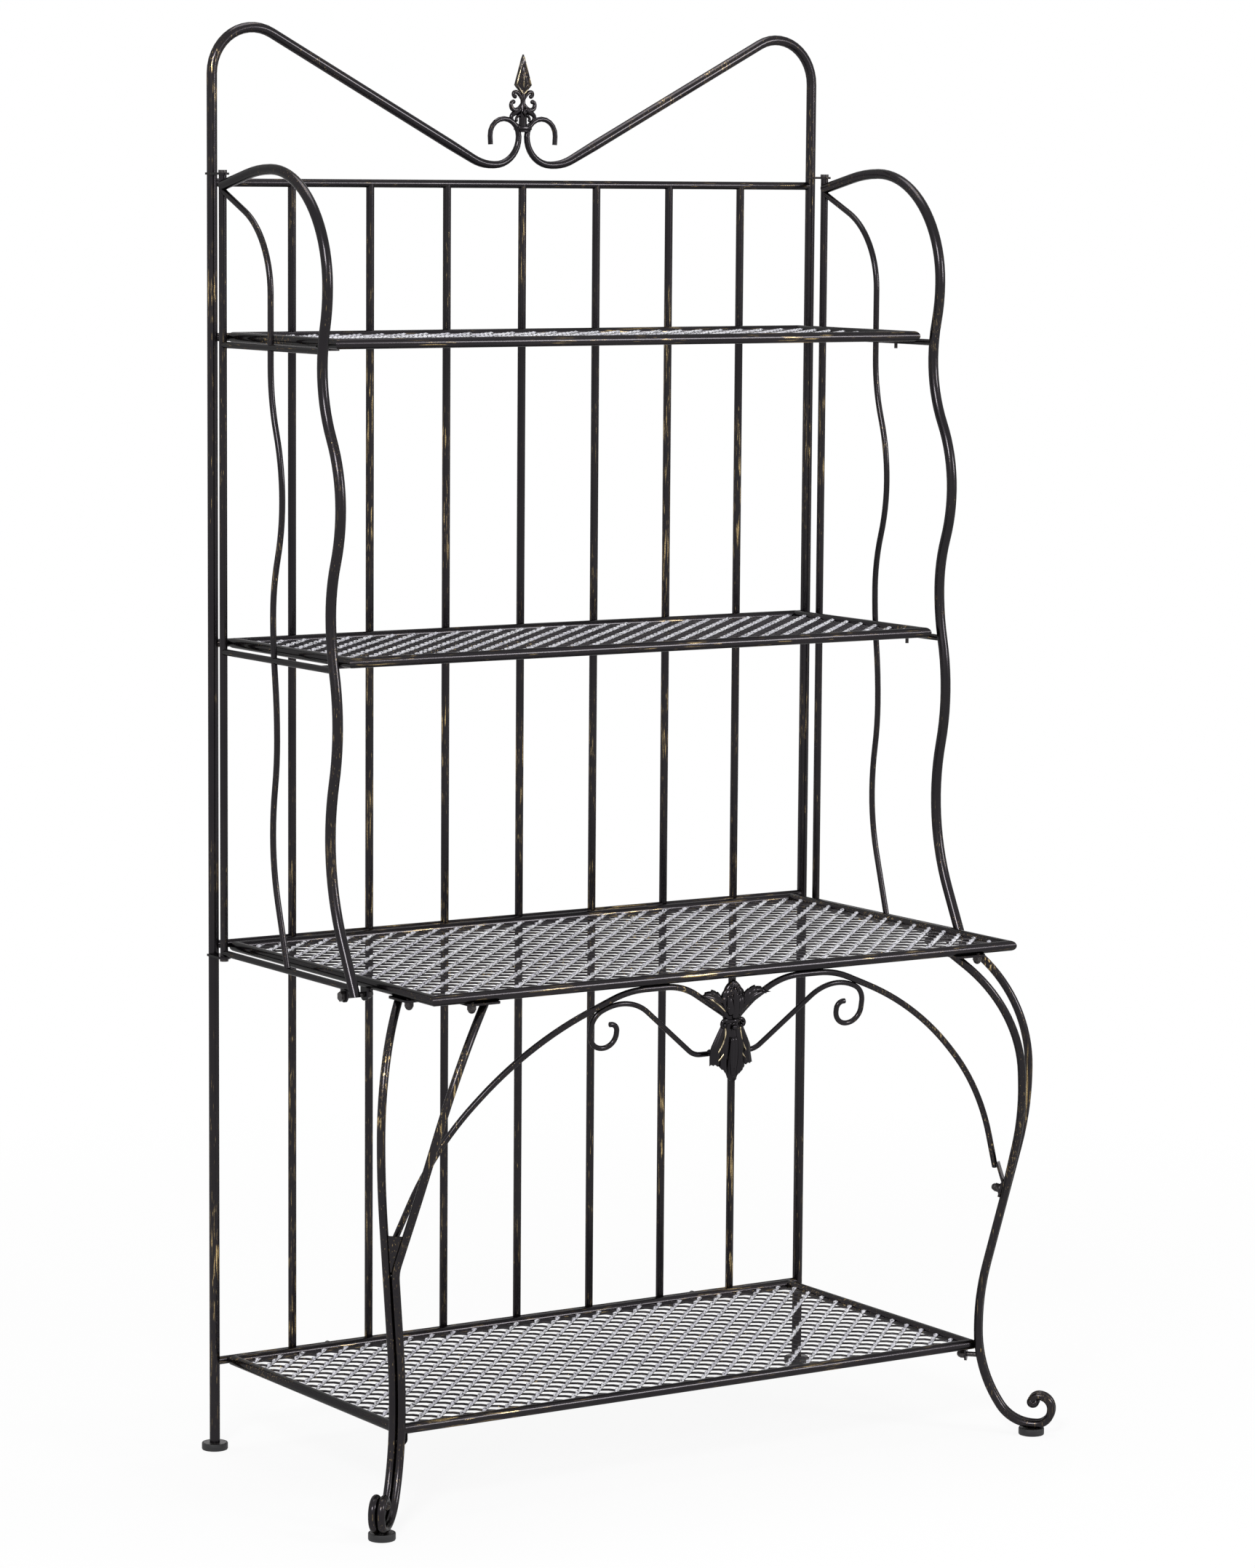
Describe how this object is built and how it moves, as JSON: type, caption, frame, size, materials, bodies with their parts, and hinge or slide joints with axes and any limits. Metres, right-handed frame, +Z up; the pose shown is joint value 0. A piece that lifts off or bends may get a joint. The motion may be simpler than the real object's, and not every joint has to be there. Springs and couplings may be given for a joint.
{
  "type": "bakers rack",
  "caption": "Metal baker's rack: scroll-topped back frame, wavy side frames, mesh shelves, a deeper mesh worktop with scrolled apron, and forked scroll-foot front legs.",
  "frame": {"origin": "middle of the footprint, on the floor", "axes": "+X to the rack's right as seen from the front, +Y towards the back frame, +Z up"},
  "size_m": [0.9436, 0.4998, 1.6548],
  "materials": {
    "frame_metal": "satin black-brown enamel with brushed antique-gold highlights",
    "mesh_metal": "satin black-brown enamel, brighter on the strands' edges",
    "hardware": "dark coated steel",
    "foot_rubber": "dark moulded cap"
  },
  "bodies": {
    "root": {"back_post_left": "frame_metal", "back_post_right": "frame_metal", "bottom_rail": "frame_metal", "worktop_rail": "frame_metal", "lower_shelf_rail": "frame_metal", "upper_shelf_rail": "frame_metal", "top_rail": "frame_metal", "bars_bottom_bay": "frame_metal", "bars_worktop_bay": "frame_metal", "bars_lower_shelf_bay": "frame_metal", "bars_top_bay": "frame_metal", "crown_finial": "frame_metal", "side_frame_brackets": "frame_metal", "side_upright_left": "frame_metal", "side_upright_right": "frame_metal", "side_wave_left": "frame_metal", "side_wave_right": "frame_metal", "side_rod_left": "frame_metal", "side_rod_right": "frame_metal", "side_crossbars_left": "frame_metal", "side_crossbars_right": "frame_metal", "shelf_tabs_left": "frame_metal", "shelf_tabs_right": "frame_metal", "upper_shelf_rim": "frame_metal", "lower_shelf_rim": "frame_metal", "worktop_rim": "frame_metal", "bottom_shelf_rim": "frame_metal", "shelf_pegs": "frame_metal", "worktop_lugs": "frame_metal", "bottom_shelf_lugs": "frame_metal", "leg_rear_tube_left": "frame_metal", "leg_rear_tube_right": "frame_metal", "leg_front_tube_left": "frame_metal", "leg_front_tube_right": "frame_metal", "leg_gusset_left": "frame_metal", "leg_gusset_right": "frame_metal", "leg_top_tabs": "frame_metal", "apron_arch_left": "frame_metal", "apron_arch_right": "frame_metal", "apron_scroll_left": "frame_metal", "apron_scroll_right": "frame_metal", "apron_leaf": "frame_metal", "apron_arch_tabs": "frame_metal", "upper_shelf_mesh": "mesh_metal", "lower_shelf_mesh": "mesh_metal", "worktop_mesh": "mesh_metal", "bottom_shelf_mesh": "mesh_metal", "foot_discs": "hardware", "side_frame_screws": "hardware", "worktop_bolts": "hardware", "back_screws": "hardware", "leg_studs": "hardware", "dome_nuts": "hardware", "stud_washers": "hardware", "foot_caps": "foot_rubber"}
  },
  "joints": []
}
